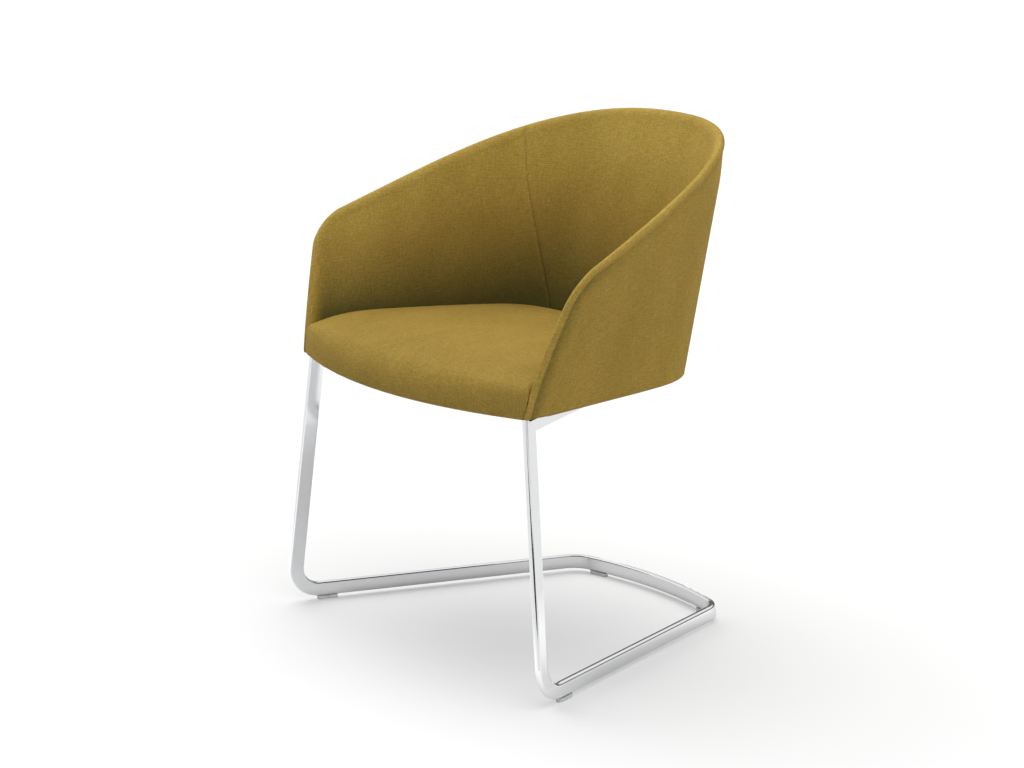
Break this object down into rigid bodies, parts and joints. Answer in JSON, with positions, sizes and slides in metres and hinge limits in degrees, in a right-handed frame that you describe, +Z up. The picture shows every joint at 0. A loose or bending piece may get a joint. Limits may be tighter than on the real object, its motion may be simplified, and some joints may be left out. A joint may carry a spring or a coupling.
{
  "type": "cantilever armchair",
  "caption": "Tub armchair with a one-piece padded back and arms in woven cloth, on a bent tube cantilever frame with an open floor loop.",
  "frame": {"origin": "on the floor, below the middle of the chair's bounding box", "axes": "+Z up, the sitter faces -Y, X from side to side and the chair symmetric about X = 0"},
  "size_m": [0.639, 0.5633, 0.7743],
  "materials": {
    "woven_cloth": "mustard and olive melange weave, matt",
    "under_cloth": "black non-woven cloth",
    "foam": "cut and moulded foam",
    "plywood": "raw beech plywood",
    "chromed_tube": "bright chromed",
    "coated_steel": "black powder coat",
    "zinc_steel": "zinc plated",
    "black_plastic": "fine satin",
    "clear_plastic": "clear moulded"
  },
  "bodies": {
    "root": {"cantilever_tube": "chromed_tube", "seat_rail_left": "chromed_tube", "seat_rail_right": "chromed_tube", "front_cross_bar": "coated_steel", "rear_cross_bar": "coated_steel", "rail_end_plugs": "black_plastic", "glides": "clear_plastic", "glide_screws": "zinc_steel", "frame_bolts": "zinc_steel", "bolt_washers": "zinc_steel", "threaded_inserts": "zinc_steel", "seat_board": "plywood", "dust_cover": "under_cloth", "tub_plywood": "plywood", "tub_foam": "foam", "seat_foam": "foam", "seat_cover": "woven_cloth", "outer_cover": "woven_cloth", "inner_back_cover": "woven_cloth", "inner_arm_cover_left": "woven_cloth", "inner_arm_cover_right": "woven_cloth"}
  },
  "joints": []
}
